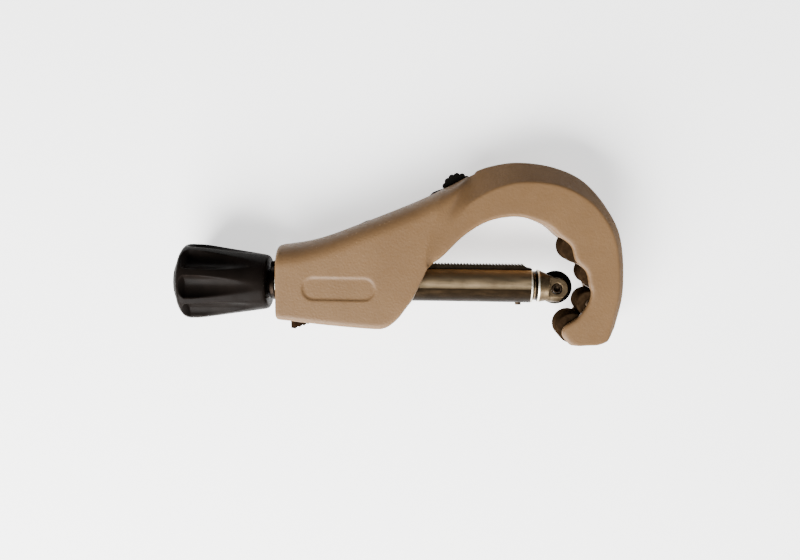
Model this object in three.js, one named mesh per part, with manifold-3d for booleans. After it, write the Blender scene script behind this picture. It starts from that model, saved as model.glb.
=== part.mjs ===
// Telescoping pipe cutter, lying on its side: a die-cast frame with a hooked jaw, four rollers in the
// hook, and a toothed slide tube that carries the cutting wheel. Millimetres, +Z up.
// The tool frame has X along the slide, positive towards the hook, Y across the flat of the tool,
// and its origin on the slide's axis near the frame's rear face.
import * as THREE from 'three';
import { mergeVertices } from 'three/addons/utils/BufferGeometryUtils.js';
import Module from 'manifold-3d';

const wasm = await Module();
wasm.setup();

// Driving dimensions.
const gap = 0.3;                    // clearance between touching pieces
const rearFaceX = 1.7;              // rear face of the frame
const gripHalf = 15;                // half thickness of the grip
const gripTopRound = 10.5;          // edge rounding along the grip's top
const gripLowRound = 3;             // and along its underside
const gripTop = [
  [-5, 18.6], [6, 19.4], [23, 22.8], [47, 31.8], [71, 41.6], [87, 49.2], [99, 55.3], [112, 60],
];
const gripBottom = [
  [-5, -17], [6, -17.7], [28, -19.9], [50, -21.3], [55.9, -20.8], [59.3, -18.9], [63.1, -15.3], [68.5, -8.1],
  [112, 10],
];
const gripFrontX = 98;
const hookHalf = 13;                // half thickness of the hook
const chamferSlope = 0.8;           // depth of the hook's outer chamfer for each mm of its width
const channelHalf = 9.6;            // half width of the roller channel between the cheeks
const tubeRadius = 8.6;             // slide tube
const tubeRearX = 0.4;
const tubeFrontX = 128.6;
const tubeInnerRadius = 7.5;        // wide bores at both ends of the tube
const tubeStepRearX = 12.6;         // the rear wide bore ends at this shoulder
const tubeStepFrontX = 62;          // the front wide bore begins at this shoulder
const rackHalf = 3;                 // half width of the rack
const rackTop = 10.8;               // tooth tips above the slide axis
const rackBottom = 7.6;
const rackRearX = 36;
const rackFrontX = 128.3;
const toothPitch = 1.6;
const toothDepth = 0.8;
const guidePinX = 122;
const shankRadius = 7.2;            // wheel carrier's shank
const shankRearX = 72;
const noseX = 131;                  // shoulder of the wheel carrier's nose
const noseRadius = 8.2;
const wheelX = 140.3;               // cutting wheel's centre
const wheelY = -0.7;
const wheelRadius = 8.3;
const axleRadius = 2.4;
const screwRadius = 4;              // feed screw
const screwRearX = -45.5;
const screwFrontX = 98;
const collarX = 9;
const knobRadius = 18.8;
const knobFrontX = -3.5;
const knobRearX = -47.4;
const fluteCount = 8;
const fluteRadius = 6.6;
const fluteLength = 32;
const fluteMiddle = [-27.5, 21.45]; // middle of a flute along the slide and out from its axis
const fluteTaper = 0.01;            // a flute runs this much steeper than the axis, in radians
const firstFlute = 0.067;           // turn of the first flute, as a share of the flutes' spacing
const outerRoller = { radius: 7.5, pinRadius: 2.2 };
const innerRoller = { radius: 6.2, pinRadius: 1.9 };
const rollerHalf = 9.2;
const pinBlindZ = 11.6;             // blind end of the roller pins inside the upper cheek
const leverPivot = [70, 35];
const leverHalf = 3.7;              // half thickness of the release lever
const leverSlotHalf = 4.1;
const nutRearX = 44;                // half nut
const nutFrontX = 57;
const nutHalf = 2.9;
const linkPin = [50.5, 27.3];
const bladePivot = [50, -15.5];     // deburring blade
const bladeHalf = 1.7;

// Solids and booleans.
function solid(geometry) {
  const bare = geometry.index ? geometry : geometry.clone();
  bare.deleteAttribute('normal');
  bare.deleteAttribute('uv');
  const merged = mergeVertices(bare, 1e-4);
  return new wasm.Manifold(new wasm.Mesh({
    numProp: 3,
    vertProperties: new Float32Array(merged.attributes.position.array),
    triVerts: new Uint32Array(merged.index.array),
  }));
}

function toGeometry(manifold) {
  const mesh = manifold.getMesh();
  const geometry = new THREE.BufferGeometry();
  geometry.setAttribute('position', new THREE.BufferAttribute(new Float32Array(mesh.vertProperties), 3));
  geometry.setIndex(new THREE.BufferAttribute(new Uint32Array(mesh.triVerts), 1));
  return geometry;
}

function joined(first, ...others) {
  return others.reduce((sum, next) => sum.add(next), first);
}

function cut(first, ...tools) {
  return tools.reduce((rest, tool) => rest.subtract(tool), first);
}

// Turned shape about the slide axis, from (x, radius) pairs that start and end on the axis or close.
function turned(profile, segments = 32) {
  const points = profile.map(([x, radius]) => new THREE.Vector2(radius, x));
  return new THREE.LatheGeometry(points, segments).rotateZ(-Math.PI / 2);
}

// Closed (x, radius) profile of a ring or tube.
function ringProfile(x0, x1, inner, outer) {
  return [[x0, inner], [x1, inner], [x1, outer], [x0, outer], [x0, inner]];
}

function rodProfile(x0, x1, radius) {
  return [[x0, 0], [x0, radius], [x1, radius], [x1, 0]];
}

// The lathe faces outwards only when its profile runs the right way round, so this checks it.
function turnedSolid(profile, segments = 32) {
  const shape = turned(profile, segments);
  const straight = solid(shape);
  return straight.volume() > 0 ? straight : solid(turned([...profile].reverse(), segments));
}

function rodX(x0, x1, radius, segments = 32) {
  return turnedSolid(rodProfile(x0, x1, radius), segments);
}

function rodZ(x, y, z0, z1, radius, segments = 24) {
  const rod = new THREE.CylinderGeometry(radius, radius, z1 - z0, segments).rotateX(Math.PI / 2);
  return solid(rod.translate(x, y, (z0 + z1) / 2));
}

function box(x0, x1, y0, y1, z0, z1) {
  const block = new THREE.BoxGeometry(x1 - x0, y1 - y0, z1 - z0);
  return solid(block.translate((x0 + x1) / 2, (y0 + y1) / 2, (z0 + z1) / 2));
}

function polygon(points) {
  return new THREE.Shape(points.map(([x, y]) => new THREE.Vector2(x, y)));
}

// Flat plate from z0 to z1 with an outline in the XY plane.
function plate(shape, z0, z1, curveSegments = 6) {
  const flat = new THREE.ExtrudeGeometry(shape, { depth: z1 - z0, bevelEnabled: false, curveSegments });
  return solid(flat.translate(0, 0, z0));
}

function splineTo(shape, points) {
  shape.splineThru(points.map(([x, y]) => new THREE.Vector2(x, y)));
}

// Closed solid through a row of matching sections, each a list of [x, y, z] corners in the same turn.
function loft(sections) {
  const corners = sections[0].length;
  const index = [];
  for (let i = 0; i < sections.length - 1; i += 1) {
    for (let k = 0; k < corners; k += 1) {
      const p = i * corners + k;
      const q = i * corners + (k + 1) % corners;
      index.push(p, q, p + corners, q, q + corners, p + corners);
    }
  }
  const last = (sections.length - 1) * corners;
  for (let k = 1; k < corners - 1; k += 1) {
    index.push(0, k + 1, k, last, last + k, last + k + 1);
  }
  const skin = new THREE.BufferGeometry();
  skin.setAttribute('position', new THREE.Float32BufferAttribute(sections.flat(2), 3));
  skin.setIndex(index);
  const body = solid(skin);
  if (body.volume() > 0) return body;
  skin.setIndex(index.map((_, n) => index[n - (n % 3) + 2 - (n % 3)]));
  return solid(skin);
}

// Height of a smooth line through [x, y] points, with x rising from point to point.
function heightAt(points, x) {
  const curve = new THREE.CatmullRomCurve3(points.map(([px, py]) => new THREE.Vector3(px, py, 0)));
  let low = 0;
  let high = 1;
  for (let i = 0; i < 30; i += 1) {
    const half = (low + high) / 2;
    if (curve.getPoint(half).x < x) low = half;
    else high = half;
  }
  return curve.getPoint(low).y;
}

// Frame casting: the grip is lofted along the slide, with a wide rounding on top and a small one below.
function gripSection(x, inset) {
  const top = heightAt(gripTop, x) - inset;
  const bottom = heightAt(gripBottom, x) + inset;
  const half = gripHalf - inset;
  const arcSteps = 5;
  const section = [];
  const corner = (y, z, radius, from) => {
    for (let i = 0; i <= arcSteps; i += 1) {
      const angle = from + (i / arcSteps) * Math.PI / 2;
      section.push([x, y + radius * Math.sin(angle), z + radius * Math.cos(angle)]);
    }
  };
  corner(top - gripTopRound, half - gripTopRound, gripTopRound, 0);
  corner(top - gripTopRound, gripTopRound - half, gripTopRound, Math.PI / 2);
  corner(bottom + gripLowRound, gripLowRound - half, gripLowRound, Math.PI);
  corner(bottom + gripLowRound, half - gripLowRound, gripLowRound, 1.5 * Math.PI);
  return section;
}

function gripSolid() {
  const sections = [
    gripSection(rearFaceX, 1.7),
    gripSection(rearFaceX + 0.5, 0.8),
    gripSection(rearFaceX + 1.7, 0),
  ];
  for (let x = 8; x <= gripFrontX; x += 3) sections.push(gripSection(x, 0));
  const beyond = new THREE.Shape();
  beyond.moveTo(69, -60);
  beyond.lineTo(69, -7.6);
  beyond.lineTo(77.6, 11.2);
  splineTo(beyond, [[81, 22.5], [86, 34], [91, 44], [97, 56]]);
  beyond.lineTo(140, 56);
  beyond.lineTo(140, -60);
  return cut(loft(sections), plate(beyond, -20, 20));
}

// The hook is a band lofted between three curves: its inner edge, the crease where the flat face ends,
// and the outer rim, with a chamfer from the crease down to the rim. The three lists match in step.
function hookSolid() {
  const curve = (points) => new THREE.CatmullRomCurve3(points.map(([x, y]) => new THREE.Vector3(x, y, 0)));
  const inner = curve([
    [68, 8], [84, 11.5], [94.9, 22], [107, 29], [120, 31], [132, 27], [139, 21],
    [141, 14], [141, 4], [141, -8], [140, -22], [138, -36],
  ]);
  const crease = curve([
    [64, 20], [84, 32], [97.5, 41.4], [109, 47.8], [122, 50.9], [138, 49.6], [150, 44.5],
    [159.3, 36.2], [166.8, 22], [169, 0], [165.8, -18], [162, -36],
  ]);
  const rim = curve([
    [60, 26], [86, 47.4], [99, 55.3], [109, 59.2], [121, 60.6], [136.8, 58.4], [151, 51.9],
    [162.7, 38.4], [169.5, 23.6], [171.3, 0], [168, -18.5], [163.5, -36],
  ]);
  const steps = 30;
  const sections = [];
  for (let i = 0; i <= steps; i += 1) {
    const a = inner.getPoint(i / steps);
    const c = crease.getPoint(i / steps);
    const o = rim.getPoint(i / steps);
    const rimHalf = Math.max(hookHalf - chamferSlope * c.distanceTo(o), 4);
    sections.push([
      [a.x, a.y, -hookHalf], [c.x, c.y, -hookHalf], [o.x, o.y, -rimHalf],
      [o.x, o.y, rimHalf], [c.x, c.y, hookHalf], [a.x, a.y, hookHalf],
    ]);
  }
  return loft(sections);
}

// Open jaw: the arch, the wavy edge of the two cheeks round the rollers, and the hook's rounded end.
function jawOpening() {
  const shape = new THREE.Shape();
  shape.moveTo(69, -60);
  shape.lineTo(69.2, -7.2);
  shape.lineTo(78.9, 11.4);
  splineTo(shape, [[83.8, 14.8], [94.6, 25.4], [106.5, 32.4], [120.4, 34.4], [133.1, 30.5], [140.3, 24.8]]);
  splineTo(shape, [[145.6, 20.5], [148, 13.5], [153.2, 8.2], [154.8, 1.5]]);
  splineTo(shape, [[156, -2], [154.6, -7.6], [149.9, -14], [143.8, -18.4], [142.6, -23], [147, -28.3]]);
  shape.lineTo(160, -27.5);
  splineTo(shape, [[164.8, -25.2], [167.7, -19.2]]);
  shape.lineTo(190, -19.2);
  shape.lineTo(190, -60);
  shape.closePath();
  return plate(shape, -20, 20, 4);
}

function rollerSpots() {
  return [
    { name: 'roller_1', x: 148.7, y: 19.9, ...outerRoller },
    { name: 'roller_2', x: 156.8, y: 7.4, ...innerRoller },
    { name: 'roller_3', x: 155.9, y: -7.4, ...innerRoller },
    { name: 'roller_4', x: 148.0, y: -19.8, ...outerRoller },
  ];
}

function rollerChannel() {
  const room = 0.8;
  const pockets = rollerSpots().map(({ x, y, radius }) => (
    rodZ(x, y, -channelHalf, channelHalf, radius + room, 28)
  ));
  const end = box(136, 149.5, -36, -19.8, -channelHalf, channelHalf);
  return joined(...pockets, end);
}

function pinHoles() {
  return rollerSpots().map(({ x, y, pinRadius }) => (
    rodZ(x, y, -20, pinBlindZ + gap, pinRadius + gap, 16)
  ));
}

// Round bore with a keyway on top for the rack and a short one below for the guide pin.
function slideBore() {
  const bore = rodX(-5, 90, tubeRadius + gap, 40);
  const rackWay = box(-5, 90, 0, rackTop + gap, -rackHalf - gap, rackHalf + gap);
  const pinWay = box(54, 90, -10.3, 0, -2, 2);
  return joined(bore, rackWay, pinWay);
}

function leverSlot() {
  const slot = polygon([
    [40.8, 70], [40.8, 21.5], [60, 23.5], [67, 29], [80, 33], [91, 36.5], [99.8, 42.5], [99.8, 70],
  ]);
  return plate(slot, -leverSlotHalf, leverSlotHalf);
}

function halfNutPocket() {
  return box(nutRearX - gap, nutFrontX + gap, 5, 30, -nutHalf - gap, nutHalf + gap);
}

function bladeSlot() {
  const slot = polygon([[4.5, -40], [4.5, -11.6], [54.8, -11.6], [54.8, -16.5], [62, -40]]);
  return plate(slot, -bladeHalf - gap, bladeHalf + gap);
}

function labelRecess() {
  const halfLength = 12.4;
  const radius = 5.7;
  const shape = new THREE.Shape();
  shape.absarc(33.3 + halfLength, -1.5, radius, -Math.PI / 2, Math.PI / 2, false);
  shape.absarc(33.3 - halfLength, -1.5, radius, Math.PI / 2, 1.5 * Math.PI, false);
  return plate(shape, gripHalf - 0.6, gripHalf + 1, 8);
}

function frameCasting() {
  const blank = cut(joined(gripSolid(), hookSolid()), jawOpening());
  return toGeometry(cut(
    blank,
    rollerChannel(),
    ...pinHoles(),
    slideBore(),
    leverSlot(),
    halfNutPocket(),
    bladeSlot(),
    labelRecess(),
    rodZ(...leverPivot, -20, 9.6, 2.2, 16),
    rodZ(...bladePivot, -20, 9.6, 2, 16),
  ));
}

// Rollers and pins.
function roller({ radius, pinRadius }) {
  const edge = 0.8;
  const profile = [
    [-rollerHalf, pinRadius + gap], [-rollerHalf, radius - edge], [edge - rollerHalf, radius],
    [rollerHalf - edge, radius], [rollerHalf, radius - edge], [rollerHalf, pinRadius + gap],
    [-rollerHalf, pinRadius + gap],
  ];
  return toGeometry(turnedSolid(profile, 28).rotate([0, -90, 0]));
}

function plainPin(length, radius) {
  const edge = 0.4;
  const half = length / 2;
  const profile = [
    [-half, 0], [-half, radius - edge], [edge - half, radius],
    [half - edge, radius], [half, radius - edge], [half, 0],
  ];
  return toGeometry(turnedSolid(profile, 16).rotate([0, -90, 0]));
}

// Release lever: a rocker in the top slot with a ribbed thumb pad at its front end.
function leverOutline() {
  const shape = new THREE.Shape();
  shape.moveTo(42, 29.8);
  shape.lineTo(41.8, 25.2);
  shape.lineTo(60, 28);
  shape.quadraticCurveTo(65, 30, 69, 30.4);
  shape.lineTo(86, 40.5);
  shape.lineTo(96.6, 48);
  shape.lineTo(97.2, 52.6);
  const ribs = 6;
  const from = new THREE.Vector2(97.2, 52.6);
  const to = new THREE.Vector2(84, 47.8);
  const centre = new THREE.Vector2(91.1, 47.6);
  const start = Math.atan2(from.y - centre.y, from.x - centre.x);
  const end = Math.atan2(to.y - centre.y, to.x - centre.x);
  for (let i = 0; i < ribs; i += 1) {
    const middle = start + (end - start) * (i + 0.5) / ribs;
    const close = start + (end - start) * (i + 1) / ribs;
    const reach = 7.3;
    shape.quadraticCurveTo(
      centre.x + (reach + 1.2) * Math.cos(middle), centre.y + (reach + 1.2) * Math.sin(middle),
      centre.x + reach * Math.cos(close), centre.y + reach * Math.sin(close),
    );
  }
  shape.lineTo(82, 47.3);
  shape.lineTo(78.6, 46);
  shape.lineTo(77, 44.2);
  shape.lineTo(71, 41.3);
  shape.lineTo(48, 31.9);
  shape.lineTo(46, 31.7);
  shape.closePath();
  return shape;
}

function releaseLever() {
  const fork = box(45.8, 55.2, 20, 30.4, -1.7, 1.7);
  const springRoom = joined(
    box(66.4, 80.5, 20, 38.7, -2.1, 2.1),
    box(60, 67, 20, 34.2, -2.1, 2.1),
  );
  return toGeometry(cut(
    plate(leverOutline(), -leverHalf, leverHalf, 3),
    fork,
    springRoom,
    rodZ(...leverPivot, -6, 6, 2.2, 16),
    rodZ(...linkPin, -6, 6, 2.2, 16),
  ));
}

// Torsion spring round the lever's pin, with one leg under the lever and one on the slot's floor.
function leverSpring() {
  const coil = 2.9;
  const turns = 2.5;
  const steps = 30;
  const points = [new THREE.Vector3(leverPivot[0] + 9, leverPivot[1] + 0.6, -1.4)];
  for (let i = 0; i <= steps; i += 1) {
    const angle = Math.PI / 2 - (i / steps) * turns * 2 * Math.PI;
    points.push(new THREE.Vector3(
      leverPivot[0] + coil * Math.cos(angle),
      leverPivot[1] + coil * Math.sin(angle),
      -1.3 + 2.6 * i / steps,
    ));
  }
  points.push(new THREE.Vector3(leverPivot[0] - 5, leverPivot[1] - 4, 1.4));
  const path = new THREE.CatmullRomCurve3(points);
  const wire = new THREE.Shape().absarc(0, 0, 0.35, 0, 2 * Math.PI, false);
  const bend = { steps: 60, extrudePath: path, curveSegments: 3, bevelEnabled: false };
  return new THREE.ExtrudeGeometry(wire, bend);
}

// Row of V teeth along X as a saw outline, tips at tipY and roots at rootY.
function toothedOutline(x0, x1, backY, rootY, tipY) {
  const count = Math.floor((x1 - x0) / toothPitch);
  const points = [[x0, backY], [x1, backY], [x1, rootY]];
  const start = (x0 + x1 + count * toothPitch) / 2;
  for (let i = 0; i < count; i += 1) {
    const x = start - i * toothPitch;
    points.push([x, rootY], [x - toothPitch / 2, tipY]);
  }
  points.push([start - count * toothPitch, rootY], [x0, rootY]);
  const repeats = (n) => n > 0 && points[n][0] === points[n - 1][0] && points[n][1] === points[n - 1][1];
  const distinct = points.filter((point, n) => !repeats(n));
  return polygon(distinct);
}

function halfNut() {
  const teeth = toothedOutline(nutRearX, nutFrontX, 20, rackTop + gap + toothDepth, rackTop + gap);
  const tongue = box(48, 53, 19, 29, -1.3, 1.3);
  return toGeometry(cut(
    joined(plate(teeth, -nutHalf, nutHalf), tongue),
    rodZ(...linkPin, -6, 6, 1 + gap, 16),
  ));
}

// Deburring blade folded into the underside, with a serrated thumb grip at its rear end.
function deburringBlade() {
  const shape = new THREE.Shape();
  shape.moveTo(bladePivot[0], bladePivot[1] + 3.4);
  shape.lineTo(14, -12.2);
  shape.lineTo(7, -13.4);
  shape.lineTo(7.4, -23.4);
  shape.lineTo(9.6, -23.8);
  const stepCount = 3;
  for (let i = 1; i <= stepCount; i += 1) {
    shape.lineTo(9.6 + i * 2.2 - 0.8, -23.8 + i * 0.8 + 0.5);
    shape.lineTo(9.6 + i * 2.2, -23.8 + i * 0.8);
  }
  shape.lineTo(18.6, -17.6);
  shape.lineTo(40, -18.4);
  shape.lineTo(bladePivot[0], bladePivot[1] - 3.6);
  shape.absarc(bladePivot[0], bladePivot[1], 3.6, -Math.PI / 2, Math.PI / 2, false);
  shape.closePath();
  return toGeometry(cut(plate(shape, -bladeHalf, bladeHalf, 8), rodZ(...bladePivot, -5, 5, 2, 16)));
}

// Slide.
function slideTube() {
  const profile = [
    [tubeRearX, tubeInnerRadius], [tubeRearX, tubeRadius - 0.4], [tubeRearX + 0.4, tubeRadius],
    [tubeFrontX - 0.6, tubeRadius], [tubeFrontX, tubeRadius - 0.6], [tubeFrontX, tubeInnerRadius],
    [tubeStepFrontX, tubeInnerRadius], [tubeStepFrontX, 5], [tubeStepRearX, 5],
    [tubeStepRearX, tubeInnerRadius], [tubeRearX, tubeInnerRadius],
  ];
  const rackSeat = box(rackRearX - gap, rackFrontX + gap, rackBottom, 12, -rackHalf - gap, rackHalf + gap);
  return toGeometry(cut(
    turnedSolid(profile, 40),
    rackSeat,
    solid(new THREE.CylinderGeometry(1.8, 1.8, 10, 16).translate(guidePinX, -10, 0)),
  ));
}

function gearRack() {
  const shape = toothedOutline(rackRearX, rackFrontX, rackBottom + gap, rackTop - toothDepth, rackTop);
  const ramp = polygon([[124.8, 12], [124.8, rackTop - toothDepth], [rackFrontX, tubeRadius], [130, 12]]);
  return toGeometry(cut(plate(shape, -rackHalf, rackHalf), plate(ramp, -5, 5)));
}

// Plug screwed into the tube's rear end, with a flange that has a key in line with the rack.
function endPlug() {
  const bore = screwRadius + gap;
  const plug = turnedSolid([
    [-2.6, bore], [-2.6, 8.4], [-1.9, 9], [0, 9], [0, tubeInnerRadius - gap],
    [collarX - gap, tubeInnerRadius - gap], [collarX - gap, bore], [-2.6, bore],
  ], 40);
  const key = polygon([[-2.4, 7], [-2.4, 10], [-1.7, 10.8], [0, 10.8], [0, 7]]);
  return toGeometry(plug.add(plate(key, -rackHalf, rackHalf)));
}

function guidePin() {
  const pin = new THREE.CylinderGeometry(1.5, 1.5, 3.6, 16);
  return toGeometry(solid(pin.translate(guidePinX, -7.9, 0)));
}

// Wheel carrier: a shank that slides in the tube and a forked nose round the wheel.
function wheelCarrier() {
  const bar = turnedSolid([
    [shankRearX, screwRadius + gap], [shankRearX, shankRadius], [noseX, shankRadius],
    [noseX, noseRadius - 0.6], [noseX + 0.6, noseRadius], [150, noseRadius], [150, 0],
    [102, 0], [102, screwRadius + gap], [shankRearX, screwRadius + gap],
  ], 36);
  const side = new THREE.Shape();
  side.moveTo(60, -12);
  side.lineTo(60, 12);
  side.lineTo(noseX, 12);
  side.lineTo(noseX, noseRadius);
  splineTo(side, [[noseX + 2.5, 7], [noseX + 5, 6.2], [139, 4.8]]);
  side.lineTo(144.8, 4.8);
  side.lineTo(145.4, 3.8);
  side.lineTo(145.4, -6);
  side.absarc(wheelX, wheelY, 7.9, -0.74, -2.2, true);
  splineTo(side, [[134, -7.4], [noseX, -noseRadius - 0.2]]);
  side.lineTo(noseX, -12);
  side.closePath();
  const flats = 6.6;
  return toGeometry(cut(
    bar.intersect(plate(side, -20, 20, 5)),
    box(136.6, 152, -12, 12, flats, 12),
    box(136.6, 152, -12, 12, -12, -flats),
    box(noseX + 0.9, 152, -12, 12, -1.6, 1.6),
    rodZ(wheelX, wheelY, -12, 12, axleRadius + gap, 20),
    box(shankRearX + 40, 127.5, -9, -5.9, -1.8, 1.8),
  ));
}

function cuttingWheel() {
  const hub = 1.3;
  return toGeometry(turnedSolid([
    [-hub, axleRadius + gap], [-hub, 5], [-0.7, 5.6], [-0.45, 6.4], [0, wheelRadius],
    [0.45, 6.4], [0.7, 5.6], [hub, 5], [hub, axleRadius + gap], [-hub, axleRadius + gap],
  ], 40).rotate([0, -90, 0]));
}

function feedScrew() {
  return toGeometry(turnedSolid([
    [screwRearX, 0], [screwRearX, screwRadius - 0.6], [screwRearX + 0.6, screwRadius],
    [collarX, screwRadius], [collarX, 6.5], [collarX + 1.6, 6.5], [collarX + 1.6, screwRadius],
    [screwFrontX - 0.8, screwRadius], [screwFrontX, screwRadius - 0.8], [screwFrontX, 0],
  ], 24));
}

function flatRing(x0, x1, inner, outer, segments = 28) {
  return toGeometry(turnedSolid(ringProfile(x0, x1, inner, outer), segments));
}

// Knob: a turned body with flutes that fade out towards the front.
function knobBody() {
  const blank = turnedSolid([
    [knobRearX, 11.6], [knobRearX, 15.9], [-46.9, 17.1], [-45.5, 18.2], [-43.6, 18.6], [-41.5, knobRadius],
    [-36, 18.3], [-8, 14.1], [-4.8, 13.5], [-3.8, 12.8], [knobFrontX, 11.6],
    [knobFrontX, 6], [-2.9, 6],
    [-2.9, screwRadius + gap], [-38, screwRadius + gap], [-38, 11.6], [knobRearX, 11.6],
  ], 48);
  const flutes = [];
  for (let i = 0; i < fluteCount; i += 1) {
    const angle = (i + firstFlute) * 2 * Math.PI / fluteCount;
    const flute = new THREE.CylinderGeometry(fluteRadius, fluteRadius, fluteLength, 16);
    flute.rotateZ(Math.PI / 2 - fluteTaper).translate(...fluteMiddle, 0).rotateX(angle);
    flutes.push(solid(flute));
  }
  return toGeometry(cut(blank, ...flutes));
}

function knobCap() {
  return toGeometry(turnedSolid([
    [-51.4, 0], [-51.25, 6], [-50.6, 9.2], [-49.7, 11.3], [-48.8, 12.4], [-47.7, 12.8], [-47.7, 11.2],
    [-45.9, 11.2], [-45.9, 9], [-47.7, 9], [-47.7, 0],
  ], 40));
}

function hexNut(x0, x1) {
  const nut = new THREE.CylinderGeometry(7, 7, x1 - x0, 6);
  nut.rotateZ(Math.PI / 2).translate((x0 + x1) / 2, 0, 0);
  return toGeometry(cut(solid(nut), rodX(x0 - 1, x1 + 1, screwRadius + gap, 24)));
}

// Finishes.
const finishes = {
  paint: { color: 0xa6886c, roughness: 0.45, metalness: 0.3 },
  plated: { color: 0x7c6044, roughness: 0.4, metalness: 0.9 },
  blackened: { color: 0x46331f, roughness: 0.45, metalness: 0.7 },
  hardened: { color: 0x82705a, roughness: 0.35, metalness: 0.9 },
  knobPlastic: { color: 0x1e1613, roughness: 0.5, metalness: 0 },
  leverPlastic: { color: 0x090603, roughness: 0.6, metalness: 0 },
};

const tool = new THREE.Group();

function piece(name, geometry, finish, position = [0, 0, 0], group = tool) {
  const mesh = new THREE.Mesh(geometry, new THREE.MeshStandardMaterial(finishes[finish]));
  mesh.name = name;
  mesh.position.set(...position);
  group.add(mesh);
  return mesh;
}

piece('frame_casting', frameCasting(), 'paint');
for (const spot of rollerSpots()) {
  piece(spot.name, roller(spot), 'blackened', [spot.x, spot.y, 0]);
  const pinFrom = 0.4 - hookHalf;
  const length = pinBlindZ - pinFrom;
  const middle = (pinBlindZ + pinFrom) / 2;
  piece(`${spot.name}_pin`, plainPin(length, spot.pinRadius), 'hardened', [spot.x, spot.y, middle]);
}
piece('release_lever', releaseLever(), 'leverPlastic');
piece('release_lever_pin', plainPin(24, 1.9), 'hardened', [...leverPivot, -2.7]);
piece('release_lever_spring', leverSpring(), 'hardened');
piece('half_nut', halfNut(), 'hardened');
piece('half_nut_link_pin', plainPin(6.8, 1), 'hardened', [...linkPin, 0]);
piece('deburring_blade', deburringBlade(), 'blackened');
piece('deburring_blade_pin', plainPin(24, 1.7), 'hardened', [...bladePivot, -2.7]);

const slide = new THREE.Group();
tool.add(slide);
piece('slide_tube', slideTube(), 'plated', [0, 0, 0], slide);
piece('gear_rack', gearRack(), 'hardened', [0, 0, 0], slide);
piece('tube_end_plug', endPlug(), 'hardened', [0, 0, 0], slide);
piece('guide_pin', guidePin(), 'hardened', [0, 0, 0], slide);
const washer = flatRing(collarX + 1.9, tubeStepRearX - gap, screwRadius + gap, 6.6);
piece('thrust_washer', washer, 'hardened', [0, 0, 0], slide);
piece('feed_screw', feedScrew(), 'hardened', [0, 0, 0], slide);
piece('wheel_carrier', wheelCarrier(), 'plated', [0, 0, 0], slide);
piece('wheel_axle', plainPin(13, axleRadius), 'hardened', [wheelX, wheelY, 0], slide);
piece('cutting_wheel', cuttingWheel(), 'blackened', [wheelX, wheelY, 0], slide);

const knob = new THREE.Group();
slide.add(knob);
piece('knob', knobBody(), 'knobPlastic', [0, 0, 0], knob);
piece('knob_cap', knobCap(), 'knobPlastic', [0, 0, 0], knob);
piece('knob_washer', flatRing(-39.6, -38.3, screwRadius + gap, 8.5), 'hardened', [0, 0, 0], knob);
piece('knob_nut', hexNut(-44.6, -39.9), 'hardened', [0, 0, 0], knob);

// The origin goes to the middle of the tool's footprint, on the surface that it lies on.
const part = new THREE.Group();
part.add(tool);
part.updateMatrixWorld(true);
const extent = new THREE.Box3().setFromObject(tool, true);
const middle = extent.getCenter(new THREE.Vector3());
tool.position.set(-middle.x, -middle.y, -extent.min.z);
part.name = 'pipe_cutter';

export default part;
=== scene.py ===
"""Pipe cutter: the looks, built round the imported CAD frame."""
import math

import bmesh
import bpy
import numpy as np
from mathutils import Matrix, Vector


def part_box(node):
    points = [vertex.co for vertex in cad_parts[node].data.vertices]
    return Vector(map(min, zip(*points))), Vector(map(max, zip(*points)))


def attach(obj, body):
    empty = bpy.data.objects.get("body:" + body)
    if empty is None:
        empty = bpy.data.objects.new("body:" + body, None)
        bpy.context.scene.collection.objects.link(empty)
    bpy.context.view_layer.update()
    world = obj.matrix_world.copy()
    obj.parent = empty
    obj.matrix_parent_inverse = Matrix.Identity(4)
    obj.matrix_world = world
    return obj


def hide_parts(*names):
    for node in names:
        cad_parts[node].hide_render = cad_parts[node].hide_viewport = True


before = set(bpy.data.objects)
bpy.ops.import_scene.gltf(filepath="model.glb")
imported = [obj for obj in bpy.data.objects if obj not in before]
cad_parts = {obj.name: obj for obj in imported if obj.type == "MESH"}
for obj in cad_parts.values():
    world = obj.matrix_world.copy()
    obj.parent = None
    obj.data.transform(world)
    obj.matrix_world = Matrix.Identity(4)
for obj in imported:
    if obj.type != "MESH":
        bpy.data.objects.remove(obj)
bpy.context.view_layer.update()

GAP = 0.3          # clearance between pieces that touch, in millimetres
TURN = 2 * math.pi


# ---------------------------------------------------------------- the tool's own frame
def tool_origin():
    """The slide's axis at X = 0 of the tool's own frame, in the row frame."""
    tube_low, tube_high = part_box("slide_tube")
    cap_low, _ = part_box("knob_cap")
    cap_reach = 0.0514
    return Vector((cap_low.x + cap_reach, (tube_low.y + tube_high.y) / 2, (tube_low.z + tube_high.z) / 2))


ORIGIN = tool_origin()


def at(x, y, z=0.0):
    """A point of the tool frame, in millimetres, as a point of the row frame, in metres."""
    return ORIGIN + Vector((x, y, z)) / 1000


def centre_of(node):
    """The middle of a CAD node, in the tool frame, in millimetres."""
    low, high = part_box(node)
    return ((Vector(low) + Vector(high)) / 2 - ORIGIN) * 1000


# ---------------------------------------------------------------- outlines
def spline(points, steps=8):
    """Points along a smooth line through the given ones, without the first."""
    line = [np.array(p, float) for p in points]
    out = []
    for i in range(len(line) - 1):
        a = line[max(i - 1, 0)]
        b, c = line[i], line[i + 1]
        d = line[min(i + 2, len(line) - 1)]
        for k in range(1, steps + 1):
            t = k / steps
            out.append(0.5 * (2 * b + (c - a) * t + (2 * a - 5 * b + 4 * c - d) * t * t
                              + (3 * b - a - 3 * c + d) * t ** 3))
    return [tuple(p) for p in out]


def arc(x, y, radius, start, end, steps=12):
    """Points along an arc, with its angles in degrees."""
    angles = [math.radians(start + (end - start) * i / steps) for i in range(steps + 1)]
    return [(x + radius * math.cos(a), y + radius * math.sin(a)) for a in angles]


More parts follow.
